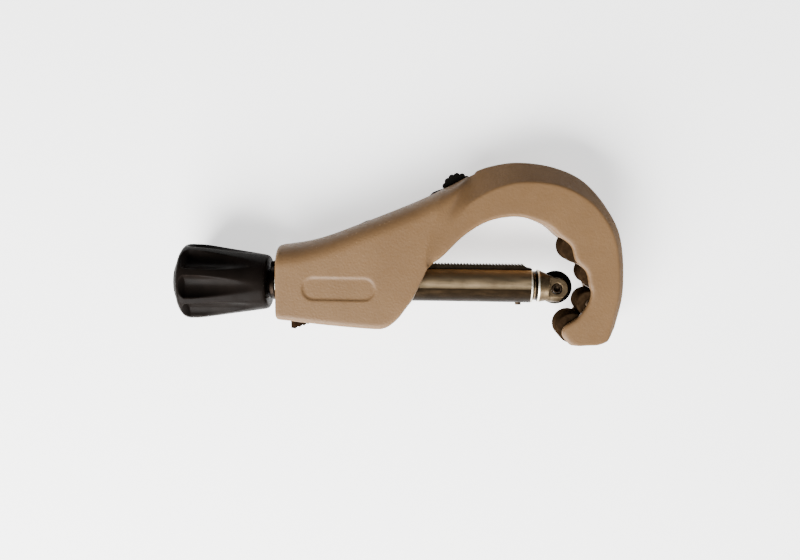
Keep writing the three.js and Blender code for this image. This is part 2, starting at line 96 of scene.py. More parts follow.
def softened(points, radius, steps=3):
    """A closed or open outline with each corner cut back to a short arc."""
    closed = points[0] == points[-1]
    core = points[:-1] if closed else points
    out = []
    for i, corner in enumerate(core):
        if not closed and i in (0, len(core) - 1):
            out.append(corner)
            continue
        p = Vector(core[i - 1])
        c = Vector(corner)
        n = Vector(core[(i + 1) % len(core)])
        back, ahead = (p - c), (n - c)
        reach = min(radius, back.length * 0.45, ahead.length * 0.45)
        start, end = c + back.normalized() * reach, c + ahead.normalized() * reach
        for k in range(steps + 1):
            t = k / steps
            out.append(tuple(start * (1 - t) ** 2 + c * 2 * t * (1 - t) + end * t * t))
    if closed:
        out.append(out[0])
    return out


# ---------------------------------------------------------------- solids, in the tool frame, in millimetres
def mesh_object(name, vertices, faces):
    mesh = bpy.data.meshes.new(name)
    mesh.from_pydata([tuple(v) for v in vertices], [], faces)
    shape = bmesh.new()
    shape.from_mesh(mesh)
    bmesh.ops.remove_doubles(shape, verts=shape.verts, dist=1e-5)
    bmesh.ops.recalc_face_normals(shape, faces=shape.faces)
    shape.to_mesh(mesh)
    shape.free()
    thing = bpy.data.objects.new(name, mesh)
    bpy.context.collection.objects.link(thing)
    return thing


def lofted(name, sections):
    """Closed skin through matching sections, each a list of (x, y, z) corners."""
    count = len(sections[0])
    vertices = [corner for section in sections for corner in section]
    faces = []
    for i in range(len(sections) - 1):
        for k in range(count):
            p, q = i * count + k, i * count + (k + 1) % count
            faces.append((p, q, q + count, p + count))
    last = (len(sections) - 1) * count
    faces.append(tuple(range(count))[::-1])
    faces.append(tuple(range(last, last + count)))
    return mesh_object(name, vertices, faces)


def turned(name, profile, segments=96, about="X", centre=(0, 0, 0)):
    """Turned shape from (along, radius) pairs. It is solid if they start and end on the axis, else a ring."""
    vertices, faces = [], []
    ring = profile[0] == profile[-1]
    rows = profile[:-1] if ring else profile
    for along, radius in rows:
        for i in range(segments):
            a = TURN * i / segments
            across, up = radius * math.cos(a), radius * math.sin(a)
            spot = (along, across, up) if about == "X" else (across, up, along)
            vertices.append(tuple(np.add(spot, centre)))
    painted_light_bands = len(rows) if ring else len(rows) - 1
    for j in range(painted_light_bands):
        p, q = j * segments, ((j + 1) % len(rows)) * segments
        for i in range(segments):
            n = (i + 1) % segments
            faces.append((p + i, p + n, q + n, q + i))
    return mesh_object(name, vertices, faces)


def plate(name, outline, z0, z1, edge=0.0, rows=3):
    """Flat plate with an outline in the XY plane, its rims rounded by edge."""
    count = len(outline)
    vertices = [(x, y, z0) for x, y in outline] + [(x, y, z1) for x, y in outline]
    faces = [tuple(range(count))[::-1], tuple(range(count, 2 * count))]
    faces += [(i, (i + 1) % count, (i + 1) % count + count, i + count) for i in range(count)]
    thing = mesh_object(name, vertices, faces)
    if edge:
        shape = bmesh.new()
        shape.from_mesh(thing.data)
        rim = [e for e in shape.edges if abs(e.verts[0].co.z - e.verts[1].co.z) < 1e-6]
        bmesh.ops.bevel(shape, geom=rim, offset=edge, segments=rows, profile=0.5, affect="EDGES")
        shape.to_mesh(thing.data)
        shape.free()
    return thing


def block(name, x0, x1, y0, y1, z0, z1):
    return plate(name, [(x0, y0), (x1, y0), (x1, y1), (x0, y1)], z0, z1)


def rod_x(name, x0, x1, radius, segments=96):
    return turned(name, [(x0, 0), (x0, radius), (x1, radius), (x1, 0)], segments)


def rod_z(name, x, y, z0, z1, radius, segments=48):
    return turned(name, [(z0, 0), (z0, radius), (z1, radius), (z1, 0)], segments, "Z", (x, y, 0))


def apply_modifiers(thing):
    graph = bpy.context.evaluated_depsgraph_get()
    baked = bpy.data.meshes.new_from_object(thing.evaluated_get(graph))
    thing.modifiers.clear()
    old = thing.data
    thing.data = baked
    bpy.data.meshes.remove(old)


def combine(base, tools, operation):
    for tool in tools:
        step = base.modifiers.new("combine", "BOOLEAN")
        step.operation = operation
        step.solver = "EXACT"
        step.object = tool
        apply_modifiers(base)
        mesh = tool.data
        bpy.data.objects.remove(tool)
        bpy.data.meshes.remove(mesh)
    return base


def cut(base, *tools):
    return combine(base, tools, "DIFFERENCE")


def join(base, *others):
    return combine(base, others, "UNION")


def skinned(thing, voxel):
    """Gives the shape one even skin of small quads, so that it can be smoothed as a cast part is."""
    step = thing.modifiers.new("skin", "REMESH")
    step.mode = "VOXEL"
    step.voxel_size = voxel
    apply_modifiers(thing)
    return thing


def relaxed(thing, rounds, weight=None):
    """Smooths the skin. weight gives the share of the way that each place moves in a round, 0 to 1."""
    mesh = thing.data
    count = len(mesh.vertices)
    places = np.empty(count * 3)
    mesh.vertices.foreach_get("co", places)
    places = places.reshape(-1, 3)
    ends = np.empty(len(mesh.edges) * 2, dtype=np.int64)
    mesh.edges.foreach_get("vertices", ends)
    a, b = ends.reshape(-1, 2).T
    valence = np.bincount(a, minlength=count) + np.bincount(b, minlength=count)
    share = np.full(count, 1.0) if weight is None else weight(places)
    for _ in range(rounds):
        total = np.stack([
            np.bincount(a, places[b, k], count) + np.bincount(b, places[a, k], count) for k in range(3)
        ], axis=1)
        places = places + (total / valence[:, None] - places) * (0.5 * share)[:, None]
    mesh.vertices.foreach_set("co", places.ravel())
    mesh.update()
    return thing


def distance_to_line(places, line):
    """Distance in the XY plane from each place to a line of points."""
    best = np.full(len(places), 1e9)
    for p, q in zip(line[:-1], line[1:]):
        p, q = np.array(p), np.array(q)
        way = q - p
        t = np.clip(((places[:, :2] - p) @ way) / max(way @ way, 1e-12), 0, 1)
        best = np.minimum(best, np.linalg.norm(places[:, :2] - (p + t[:, None] * way), axis=1))
    return best


def finished(thing, body, material, nodes, sharp=40):
    """Puts a shape made in tool millimetres into the frame as a piece that stands for CAD nodes."""
    mesh = thing.data
    mesh.transform(Matrix.Translation(ORIGIN) @ Matrix.Scale(0.001, 4))
    mesh.materials.clear()
    mesh.materials.append(material)
    for face in mesh.polygons:
        face.use_smooth = True
    mesh.set_sharp_from_angle(angle=math.radians(sharp))
    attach(thing, body)
    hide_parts(*nodes)
    return thing


# ---------------------------------------------------------------- materials
class Paint:
    """A Principled material with node helpers. Texture places are in metres, in the piece's own space."""

    def __init__(self, name, colour, roughness, metallic=0.0, shine=0.5):
        self.material = bpy.data.materials.new(name)
        self.material.use_nodes = True
        self.tree = self.material.node_tree
        self.shader = self.tree.nodes["Principled BSDF"]
        self.shader.inputs["Base Color"].default_value = (*colour, 1)
        self.shader.inputs["Roughness"].default_value = roughness
        self.shader.inputs["Metallic"].default_value = metallic
        self.shader.inputs["Specular IOR Level"].default_value = shine
        self.place = self.tree.nodes.new("ShaderNodeTexCoord").outputs["Object"]

    def link(self, output, node_input):
        self.tree.links.new(output, node_input)

    def noise(self, scale, detail=3.0, stretch=(1, 1, 1), roughness=0.5):
        mapping = self.tree.nodes.new("ShaderNodeMapping")
        mapping.inputs["Scale"].default_value = stretch
        self.link(self.place, mapping.inputs["Vector"])
        texture = self.tree.nodes.new("ShaderNodeTexNoise")
        texture.inputs["Scale"].default_value = scale
        texture.inputs["Detail"].default_value = detail
        texture.inputs["Roughness"].default_value = roughness
        self.link(mapping.outputs["Vector"], texture.inputs["Vector"])
        return texture.outputs["Fac"]

    def spread(self, value, low, high, to_low=0.0, to_high=1.0):
        """Maps a range of a value to another range, clamped."""
        node = self.tree.nodes.new("ShaderNodeMapRange")
        node.inputs["From Min"].default_value = low
        node.inputs["From Max"].default_value = high
        node.inputs["To Min"].default_value = to_low
        node.inputs["To Max"].default_value = to_high
        self.link(value, node.inputs["Value"])
        return node.outputs["Result"]

    def mixed(self, amount, first, second):
        """Mixes two colours, each a tuple or an output."""
        node = self.tree.nodes.new("ShaderNodeMix")
        node.data_type = "RGBA"
        self.link(amount, node.inputs[0])
        for value, place in ((first, node.inputs[6]), (second, node.inputs[7])):
            if isinstance(value, tuple):
                place.default_value = (*value, 1)
            else:
                self.link(value, place)
        return node.outputs[2]

    def times(self, first, second):
        node = self.tree.nodes.new("ShaderNodeMath")
        node.operation = "MULTIPLY"
        self.link(first, node.inputs[0])
        if isinstance(second, (int, float)):
            node.inputs[1].default_value = second
        else:
            self.link(second, node.inputs[1])
        return node.outputs[0]

    def between(self, axis, low, high, blur):
        """1 between two places on an axis of the tool frame, in millimetres, with soft ends."""
        split = self.tree.nodes.new("ShaderNodeSeparateXYZ")
        self.link(self.place, split.inputs[0])
        shift = ORIGIN["XYZ".index(axis)]
        ends = [shift + (low - blur) / 1000, shift + (low + blur) / 1000]
        rise = self.spread(split.outputs[axis], *ends)
        ends = [shift + (high - blur) / 1000, shift + (high + blur) / 1000]
        return self.times(rise, self.spread(split.outputs[axis], *ends, 1, 0))

    def edges(self, low, high):
        """1 on outward edges, 0 elsewhere."""
        shape = self.tree.nodes.new("ShaderNodeNewGeometry")
        return self.spread(shape.outputs["Pointiness"], low, high)

    def colour(self, value):
        self.link(value, self.shader.inputs["Base Color"])

    def rough(self, value):
        self.link(value, self.shader.inputs["Roughness"])

    def bump(self, *layers):
        """Each layer is (height output, depth in metres)."""
        normal = None
        for height, depth in layers:
            node = self.tree.nodes.new("ShaderNodeBump")
            node.inputs["Strength"].default_value = 1
            node.inputs["Distance"].default_value = depth
            self.link(height, node.inputs["Height"])
            if normal is not None:
                self.link(normal, node.inputs["Normal"])
            normal = node.outputs["Normal"]
        self.link(normal, self.shader.inputs["Normal"])


def casting_paint():
    """Champagne paint with a fine orange peel, a little rubbed on its edges."""
    light, dark = (0.134, 0.076, 0.034), (0.118, 0.066, 0.029)
    fleck, rubbed = (0.078, 0.043, 0.018), (0.24, 0.15, 0.08)
    paint = Paint("casting_paint", light, 0.5, shine=0.18)
    cloud = paint.spread(paint.noise(45, 4), 0.35, 0.65)
    speck = paint.spread(paint.noise(2600, 2), 0.3, 0.7)
    flaked = paint.mixed(paint.times(speck, 0.3), paint.mixed(cloud, dark, light), fleck)
    rub = paint.times(paint.edges(0.57, 0.66), paint.spread(paint.noise(260, 5), 0.48, 0.62))
    paint.colour(paint.mixed(paint.times(rub, 0.4), flaked, rubbed))
    paint.rough(paint.spread(paint.noise(300, 4), 0.3, 0.7, 0.42, 0.56))
    paint.bump((paint.noise(900, 3), 0.00012), (paint.noise(3500, 2), 0.00004))
    return paint.material


def steel(name, colour, dark, roughness, streak=(1, 1, 1), scale=400, rub=1.0, painted_light_bands=(),
          metallic=1.0, shine=0.5):
    """Plated or bare steel with streaks, stains and rubbed edges.

    Each band is (axis, low, high, blur, colour, least cover): a stretch of another tone, whose cover varies
    from the least one to 1. The bands paint light: painted reflections, painted highlights and painted shade.
    """
    paint = Paint(name, colour, roughness, metallic, shine)
    streaks = paint.spread(paint.noise(scale, 5, streak, 0.6), 0.35, 0.7)
    stains = paint.spread(paint.noise(170, 4), 0.42, 0.66)
    base = paint.mixed(paint.times(stains, 0.55), paint.mixed(streaks, colour, dark), dark)
    # Painted light: the bands lay painted reflections, highlights and shade over the steel.
    for axis, low, high, blur, tone, cover in painted_light_bands:
        ragged = paint.spread(paint.noise(190, 6, (0.5, 1, 1), 0.6), 0.36, 0.62, cover, 1)
        base = paint.mixed(paint.times(paint.between(axis, low, high, blur), ragged), base, tone)
    bright = tuple(min(1.0, c * 1.8) for c in colour)
    worn = paint.times(paint.edges(0.52, 0.58), paint.spread(paint.noise(900, 3), 0.35, 0.6))
    paint.colour(paint.mixed(paint.times(worn, rub), base, bright))
    paint.rough(paint.spread(streaks, 0, 1, roughness - 0.08, roughness + 0.12))
    paint.bump((streaks, 0.00002))
    return paint.material


def plastic(name, colour, lighter, roughness, shine=0.3):
    """Moulded plastic with a fine grain, and edges lightened partly as scuffs and partly as a painted
    highlight.
    """
    paint = Paint(name, colour, roughness, shine=shine)
    scuff_and_highlight = paint.times(paint.edges(0.52, 0.60), paint.spread(paint.noise(500, 5), 0.4, 0.65))
    cloud = paint.spread(paint.noise(90, 4), 0.35, 0.65)
    base = paint.mixed(paint.times(cloud, 0.5), colour, lighter)
    # The edge colour, four times the lighter tone, is partly scuffing and partly a painted highlight along
    # the knob's ridges.
    paint.colour(paint.mixed(paint.times(scuff_and_highlight, 0.6), base, tuple(c * 4 for c in lighter)))
    paint.rough(paint.spread(paint.noise(240, 5), 0.3, 0.7, roughness - 0.07, roughness + 0.1))
    paint.bump((paint.noise(1800, 3), 0.00003))
    return paint.material


# ---------------------------------------------------------------- camera, floor and light
def add_camera():
    """Looks at the tool's near side from 0.38 m away."""
    image_width, focal_pixels, roll_angle = 800, 755.2, -0.49
    data = bpy.data.cameras.new("camera")
    data.sensor_width = 36
    data.lens = focal_pixels / image_width * data.sensor_width
    camera = bpy.data.objects.new("camera", data)
    bpy.context.collection.objects.link(camera)
    eye = at(81.1, 45.4, 378.3)
    target = at(62.65, 1.78)
    forward = (target - eye).normalized()
    right = forward.cross(Vector((0, 1, 0))).normalized()
    up = right.cross(forward)
    roll = Matrix.Rotation(math.radians(roll_angle), 3, forward)
    turn = Matrix((roll @ right, roll @ up, -forward)).transposed()
    camera.matrix_world = Matrix.Translation(eye) @ turn.to_4x4()
    bpy.context.scene.camera = camera


def add_floor():
    """A pale floor, a little self-lit as a light table is."""
    half, glow = 3, 1.2
    corners = [(-half, -half, 0), (half, -half, 0), (half, half, 0), (-half, half, 0)]
    mesh = bpy.data.meshes.new("floor")
    mesh.from_pydata(corners, [], [(0, 1, 2, 3)])
    floor = bpy.data.objects.new("floor", mesh)
    bpy.context.collection.objects.link(floor)
    paint = Paint("floor_paint", (0.93, 0.93, 0.92), 0.9)
    paint.shader.inputs["Emission Color"].default_value = (1, 1, 1, 1)
    paint.shader.inputs["Emission Strength"].default_value = glow
    mesh.materials.append(paint.material)


def add_softbox(name, place, width, height, power):
    data = bpy.data.lights.new(name, "AREA")
    data.shape = "RECTANGLE"
    data.size = width
    data.size_y = height
    data.energy = power
    light = bpy.data.objects.new(name, data)
    bpy.context.collection.objects.link(light)
    light.location = place
    light.rotation_mode = "QUATERNION"
    light.rotation_quaternion = (at(60, 10) - place).to_track_quat("-Z", "Y")


def add_light():
    sky_strength = 0.15
    world = bpy.data.worlds.new("world")
    world.use_nodes = True
    sky = world.node_tree.nodes["Background"]
    sky.inputs["Color"].default_value = (1, 1, 1, 1)
    sky.inputs["Strength"].default_value = sky_strength
    bpy.context.scene.world = world
    add_softbox("key", at(-420, -900, 720), width=1.3, height=1.0, power=113)
    add_softbox("right", at(900, -300, 400), width=0.6, height=0.6, power=4)


# ---------------------------------------------------------------- frame casting
GRIP_HALF = 15       # half thickness of the grip, in millimetres
HOOK_HALF = 13       # and of the hook
CHANNEL_HALF = 9.6   # half width of the roller channel between the cheeks
DEEP = 20            # cutters reach this far from the middle plane, past both faces
LEVER_PIVOT = (70, 35)
BLADE_PIVOT = (50, -15.5)
GRIP_TOP = [(-5, 18.6), (6, 19.4), (23, 22.8), (47, 31.8), (71, 41.6), (87, 49.2), (99, 55.3), (112, 60)]
GRIP_BOTTOM = [
    (-5, -17), (6, -17.7), (28, -19.9), (50, -21.4), (55.9, -20.9), (59.3, -18.9), (63.1, -15.3),
    (68.5, -8.1), (74, -4), (80, 0), (112, 10),
]
STEP_LINE = [(77.6, 11.2), (81, 22.5), (86, 34), (91, 44), (97, 56)]
ARCH = [(78.9, 11.4), (83.8, 14.8), (94.6, 25.4), (106.5, 32.4), (120.4, 34.4), (133.1, 30.5), (140.3, 24.8)]
CHEEKS = [(140.3, 24.8), (145.6, 20.5), (148, 13.5), (153.2, 8.2), (154.8, 1.5)]
CHEEKS_LOW = [
    (154.8, 1.5), (156, -2), (154.6, -7.6), (149.9, -14), (143.8, -18.4), (142.6, -23), (147, -28.3),
]


def height_on(line, x):
    """Height at x of the smooth line through the given points."""
    fine = [line[0]] + spline(line, 16)
    return float(np.interp(x, [p[0] for p in fine], [p[1] for p in fine]))


def grip_section(x, inset):
    """Outline across the grip at x, drawn in by inset, with a wide rounding on top and a small one below."""
    top = height_on(GRIP_TOP, x) - inset
    bottom = height_on(GRIP_BOTTOM, x) + inset
    half = GRIP_HALF - inset
    top_round, low_round = 10.5, 3
    section = []
    for y, z, radius, start in (
        (top - top_round, half - top_round, top_round, 0),
        (top - top_round, top_round - half, top_round, 90),
        (bottom + low_round, low_round - half, low_round, 180),
        (bottom + low_round, half - low_round, low_round, 270),
    ):
        section += [(x, up, across) for across, up in arc(z, y, radius, start, start + 90, 10)]
    return section


def grip_solid():
    """Grip with a rounded rear rim, cut off along the step where the hook's neck begins."""
    rear_x, rear_round, steps = 1.7, 1.7, 5
    sections = []
    for i in range(steps + 1):
        angle = i / steps * math.pi / 2
        x = rear_x + rear_round * (1 - math.cos(angle))
        sections.append(grip_section(x, rear_round * (1 - math.sin(angle))))
    sections += [grip_section(x, 0) for x in range(5, 99)]
    grip = lofted("grip", sections)
    beyond = [(69, -60), (69, -7.6)] + STEP_LINE[:1] + spline(STEP_LINE) + [(140, 56), (140, -60)]
    return cut(grip, plate("beyond", beyond, -DEEP, DEEP))


def hook_solid():
    """Band lofted between its inner edge, the crease where its flat face ends and its outer rim."""
    steps, chamfer_slope, least_half = 6, 0.8, 4
    inner = spline([
        (68, 8), (84, 11.5), (94.9, 22), (107, 29), (120, 31), (132, 27), (139, 21),
        (141, 14), (141, 4), (141, -8), (140, -22), (138, -36),
    ], steps)
    crease = spline([
        (64, 20), (84, 32), (97.5, 41.4), (109, 47.8), (122, 50.9), (138, 49.6), (150, 44.5),
        (159.3, 36.2), (166.8, 22), (169, 0), (165.8, -18), (162, -36),
    ], steps)
    rim = spline([
        (60, 26), (86, 48.2), (98.8, 55.9), (109, 59.3), (121, 60.6), (136.8, 58.4), (151, 51.9),
        (162.7, 38.4), (169.5, 23.6), (171.3, 0), (168, -18.5), (163.5, -36),
    ], steps)
    sections = []
    for a, c, o in zip(inner, crease, rim):
        rim_half = max(HOOK_HALF - chamfer_slope * math.dist(c, o), least_half)
        sections.append([
            (*a, -HOOK_HALF), (*c, -HOOK_HALF), (*o, -rim_half),
            (*o, rim_half), (*c, HOOK_HALF), (*a, HOOK_HALF),
        ])
    return lofted("hook", sections)


def jaw_outline():
    """The open jaw: slant of the grip, arch, wavy edge of the cheeks and the hook's rounded end."""
    return (
        [(69, -60), (69.2, -7.2), ARCH[0]] + spline(ARCH) + spline(CHEEKS) + spline(CHEEKS_LOW)
        + [(160, -27.5)] + spline([(160, -27.5), (164.8, -25.2), (167.7, -19.2)]) + [(190, -19.2), (190, -60)]
    )


ROLLERS = [(f"roller_{i}", centre_of(f"roller_{i}")) for i in range(1, 5)]
OUTER_SIZE, INNER_SIZE = (7.5, 2.2), (6.2, 1.9)   # radii of a roller and of its pin
ROLLER_SIZES = {
    "roller_1": OUTER_SIZE, "roller_2": INNER_SIZE, "roller_3": INNER_SIZE, "roller_4": OUTER_SIZE,
}


def frame_cutters():
    """Everything taken out of the casting: jaw, roller channel, bore with its keyways, slots and holes."""
    pocket_room, label_depth = 0.8, 0.6
    cutters = [plate("jaw", jaw_outline(), -DEEP, DEEP)]
    for name, spot in ROLLERS:
        radius, pin = ROLLER_SIZES[name]
        reach = radius + pocket_room
        cutters.append(rod_z("pocket", spot.x, spot.y, -CHANNEL_HALF, CHANNEL_HALF, reach))
        cutters.append(rod_z("pin_hole", spot.x, spot.y, -DEEP, 0, pin + GAP, 32))
    cutters += [
        block("end", 136, 149.5, -36, -19.8, -CHANNEL_HALF, CHANNEL_HALF),
        rod_x("bore", -5, 90, 8.9),
        block("rack_way", -5, 90, 0, 11.1, -3.3, 3.3),
        block("pin_way", 54, 90, -10.3, 0, -2, 2),
        plate("lever_slot", [
            (40.8, 70), (40.8, 21.5), (60, 23.5), (67, 29), (80, 33), (91, 36.5), (99.8, 42.5), (99.8, 70),
        ], -4.1, 4.1),
        block("nut_pocket", 43.7, 57.3, 5, 30, -3.2, 3.2),
        plate("blade_slot", [(4.5, -40), (4.5, -11.6), (54.8, -11.6), (54.8, -16.5), (62, -40)], -2, 2),
        plate(
            "label", arc(45.7, -1.5, 5.7, -90, 90) + arc(20.9, -1.5, 5.7, 90, 270),
            GRIP_HALF - label_depth, GRIP_HALF + 2,
        ),
        rod_z("lever_hole", *LEVER_PIVOT, -DEEP, 9.6, 2.2, 32),
        rod_z("blade_hole", *BLADE_PIVOT, -DEEP, 9.6, 2, 32),
    ]
    return cutters


def frame_casting(material):
    """Grip and hook in one casting, with its rims and the step at the hook's neck smoothed."""
    casting = cut(join(grip_solid(), hook_solid()), *frame_cutters())
    skinned(casting, 0.45)
    inner_edge = [(69, -7.6), ARCH[0]] + spline(ARCH) + spline(CHEEKS) + spline(CHEEKS_LOW)
    step_line = STEP_LINE[:1] + spline(STEP_LINE)

    def edge_softness(places):
        """Softens the jaw's edge outside the channel, more so along the wavy cheeks."""
        reach = np.where(places[:, 0] > 130, 3.2, 1.8)
        near_edge = np.clip((reach - distance_to_line(places, inner_edge)) / 1.5, 0, 1)
        near_edge *= np.clip((np.abs(places[:, 2]) - 9.8) / 0.8, 0, 1)
        return near_edge

    def step_softness(places):
        """Softens the step at the hook's neck, in a strip that widens towards the grip's top."""
        reach = np.interp(places[:, 1], [10, 16, 22, 35, 50], [1.5, 3, 4, 5, 9])
        near_step = np.clip((reach - distance_to_line(places, step_line)) / 2, 0, 1)
        return near_step * np.clip((np.abs(places[:, 2]) - 5) / 2, 0, 1)

    relaxed(casting, 30, edge_softness)
    relaxed(casting, 260, step_softness)
    relaxed(casting, 3)
    return finished(casting, "frame", material, ["frame_casting"], 50)


# ---------------------------------------------------------------- rollers and pins
def rounded_ring(half, inner, outer, edge):
    """Profile of a ring about its axis, from -half to half, with rounded outer rims."""
    return (
        [(-half, inner), *arc(-half + edge, outer - edge, edge, 180, 90, 6)]
        + arc(half - edge, outer - edge, edge, 90, 0, 6) + [(half, inner), (-half, inner)]
    )


def rollers(material):
    half, edge = 9.2, 0.8
    bodies = ("roller_one", "roller_two", "roller_three", "roller_four")
    for body, (name, spot) in zip(bodies, ROLLERS):
        radius, pin = ROLLER_SIZES[name]
        profile = rounded_ring(half, pin + GAP, radius, edge)
        roller = turned(f"{name}_turned", profile, 128, "Z", spot)
        finished(roller, body, material, [name])


def pins(material):
    """The pins in the frame, with slightly domed ends."""
    for node, radius in (
        ("roller_1_pin", 2.2), ("roller_2_pin", 1.9), ("roller_3_pin", 1.9), ("roller_4_pin", 2.2),
        ("release_lever_pin", 1.9), ("deburring_blade_pin", 1.7),
    ):
        rear, front = [(corner.z - ORIGIN.z) * 1000 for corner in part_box(node)]
        front = min(front, CHANNEL_HALF - GAP)
        edge = 0.35
        profile = [
            (rear, 0), (rear + 0.05, radius * 0.6), (rear + edge, radius),
            (front - edge, radius), (front - 0.05, radius * 0.6), (front, 0),
        ]
        spot = centre_of(node)
        pin = turned(f"{node}_turned", profile, 64, "Z", (spot.x, spot.y, 0))
        finished(pin, "frame", material, [node], 25)


# ---------------------------------------------------------------- release lever
LEVER_HALF = 3.7
LINK_PIN = (50.5, 27.3)


def lever_outline():
    """Outline of the lever, with a ribbed thumb pad about the middle (pad_x, pad_y)."""
    under = [(60, 28), (63, 29.2), (66, 30.1), (69, 30.4)]
    low_front, high_front, pad_rear = (96.6, 48), (97.2, 52.6), (84, 47.8)
    pad_x, pad_y = 91.1, 47.6
    start = math.atan2(high_front[1] - pad_y, high_front[0] - pad_x)
    end = math.atan2(pad_rear[1] - pad_y, pad_rear[0] - pad_x)
    ribs, per_rib, root, tip, roundness = 6, 8, 7.2, 7.95, 0.7
    pad = []
    for i in range(ribs * per_rib + 1):
        angle = start + (end - start) * i / (ribs * per_rib)
        swell = abs(math.sin(math.pi * i / per_rib)) ** roundness
        reach = root + (tip - root) * swell
        pad.append((pad_x + reach * math.cos(angle), pad_y + reach * math.sin(angle)))
    rear = [(82, 47.3), (78.6, 46), (77, 44.2), (71, 41.3), (48, 31.9), (46, 31.7), (42, 29.8)]
    outline = softened([(42, 29.8), (41.8, 25.2), *under, (86, 40.5), low_front], 0.8)[:-1]
    return outline + [low_front] + pad + softened([pad[-1], *rear], 0.8)[1:-1]


def release_lever(material):
    """Rocking lever with a fork for the link pin, and room for its spring."""
    lever = plate("lever_moulded", lever_outline(), -LEVER_HALF, LEVER_HALF, 0.45)
    cut(
        lever,
        block("fork", 45.8, 55.2, 20, 30.4, -1.7, 1.7),
        block("spring_room_front", 66.4, 80.5, 20, 38.7, -2.1, 2.1),
        block("spring_room_rear", 60, 67, 20, 34.2, -2.1, 2.1),
        rod_z("pivot", *LEVER_PIVOT, -6, 6, 2.2),
        rod_z("link", *LINK_PIN, -6, 6, 2.2),
    )
    return finished(lever, "lever", material, ["release_lever"], 35)


# ---------------------------------------------------------------- deburring blade
def deburring_blade(material):
    """Flat blade folded under the grip, with a serrated thumb grip at its free end."""
    pivot_x, pivot_y = BLADE_PIVOT
    half, eye = 1.7, 3.6
    steps = []
    for i in range(1, 4):
        steps += [(8.8 + i * 2.2, -23.3 + i * 0.8), (9.6 + i * 2.2, -23.8 + i * 0.8)]
    outline = softened(
        [(pivot_x, pivot_y + eye), (14, -12.2), (7, -13.4), (7.4, -23.4), (9.6, -23.8), *steps,
         (18.6, -17.6), (40, -18.4), (pivot_x, pivot_y - eye)], 0.3, 2,
    )
    outline += arc(pivot_x, pivot_y, eye, -85, 85)
    blade = plate("blade_ground", outline, -half, half, 0.25, 2)
    cut(blade, rod_z("blade_pivot", pivot_x, pivot_y, -5, 5, 2))
    return finished(blade, "blade", material, ["deburring_blade"], 35)


# ---------------------------------------------------------------- slide
TUBE_RADIUS = 8.6
TUBE_FRONT = 128.6
RACK_HALF = 3        # half width of the rack
RACK_TOP = 10.8      # tooth tips above the slide's axis
PITCH = 1.6          # tooth pitch
TOOTH = 0.8          # tooth depth


def slide_tube(material):
    """Tube with a collar at its rear end that carries a painted highlight, wide bores at both ends and a seat
    for the rack.
    """
    inner, narrow, collar, lip = 7.5, 5, 8.95, 0.25
    # Rows close to both ends keep the rubbed edges from spreading along the tube.
    outside = [(x, TUBE_RADIUS) for x in (1.5, 3, 5, TUBE_FRONT - 4, TUBE_FRONT - 2, TUBE_FRONT - lip)]
    profile = [
        (0.4, inner), (0.4, TUBE_RADIUS - 0.2), (0.6, collar), (1.3, collar), *outside,
        (TUBE_FRONT, TUBE_RADIUS - lip), (TUBE_FRONT, inner), (62, inner),
        (62, narrow), (12.6, narrow), (12.6, inner), (0.4, inner),
    ]
    tube = turned("tube_turned", profile, 160)
    guide_pin_x = 122
    pin_seat = turned("pin_seat", [(5, 0), (5, 1.8), (15, 1.8), (15, 0)], 48)
    down = Matrix.Rotation(-math.pi / 2, 4, "Z")
    pin_seat.data.transform(Matrix.Translation((guide_pin_x, 0, 0)) @ down)
    cut(
        tube,
        block("rack_seat", 35.7, TUBE_FRONT, 7.6, 12, -RACK_HALF - GAP, RACK_HALF + GAP),
        pin_seat,
    )
    return finished(tube, "slide", material, ["slide_tube"], 25)


def gear_rack(material):
    """Toothed strip that slopes down to the tube at its front end."""
    rear, front = [((corner - ORIGIN) * 1000).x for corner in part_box("gear_rack")]
    bottom, root = 7.9, RACK_TOP - TOOTH
    count = int((front - rear) / PITCH)
    start = (rear + front + count * PITCH) / 2
    ramp_x, land, half_tip, worn = 124.8, 0.1, 0.16, 0.1
    outline = [
        (rear, bottom), (front, bottom), (front, TUBE_RADIUS), (ramp_x + 1.1, root - 0.9), (ramp_x, root),
    ]
    for i in range(count):
        x = start - i * PITCH
        tip = x - PITCH / 2
        if x <= ramp_x:
            outline += [
                (x - land, root), (tip + half_tip, RACK_TOP - worn), (tip - half_tip, RACK_TOP - worn),
            ]
    outline += [(start - count * PITCH, root), (rear, root)]
    rack = plate("rack_milled", outline, -RACK_HALF, RACK_HALF, 0.12, 1)
    return finished(rack, "slide", material, ["gear_rack"], 25)


def end_plug(material):
    """Flange with a spigot inside the tube, and a key in line with the rack."""
    bore, spigot, collar = 4.3, 7.2, 8.7
    flange = turned("plug_turned", [
        (-2.6, bore), (-2.6, 8.2), (-2.45, 8.5), (-2.0, 8.95), (-1.7, 9), (-0.25, 9), (0, 8.8), (0, spigot),
        (collar, spigot), (collar, bore), (-2.6, bore),
    ], 128)
    key = plate("key", [(-2.4, 7), (-2.4, 10), (-1.7, 10.8), (0, 10.8), (0, 7)], -RACK_HALF, RACK_HALF)
    return finished(join(flange, key), "slide", material, ["tube_end_plug"], 25)


# ---------------------------------------------------------------- wheel carrier, wheel and axle
WHEEL = centre_of("cutting_wheel")
NOSE_X = 131         # shoulder of the nose
NOSE_RADIUS = 8.2
FLAT = 6.6           # the nose's flats, from the middle plane
WHEEL_SLOT_HALF = 1.6


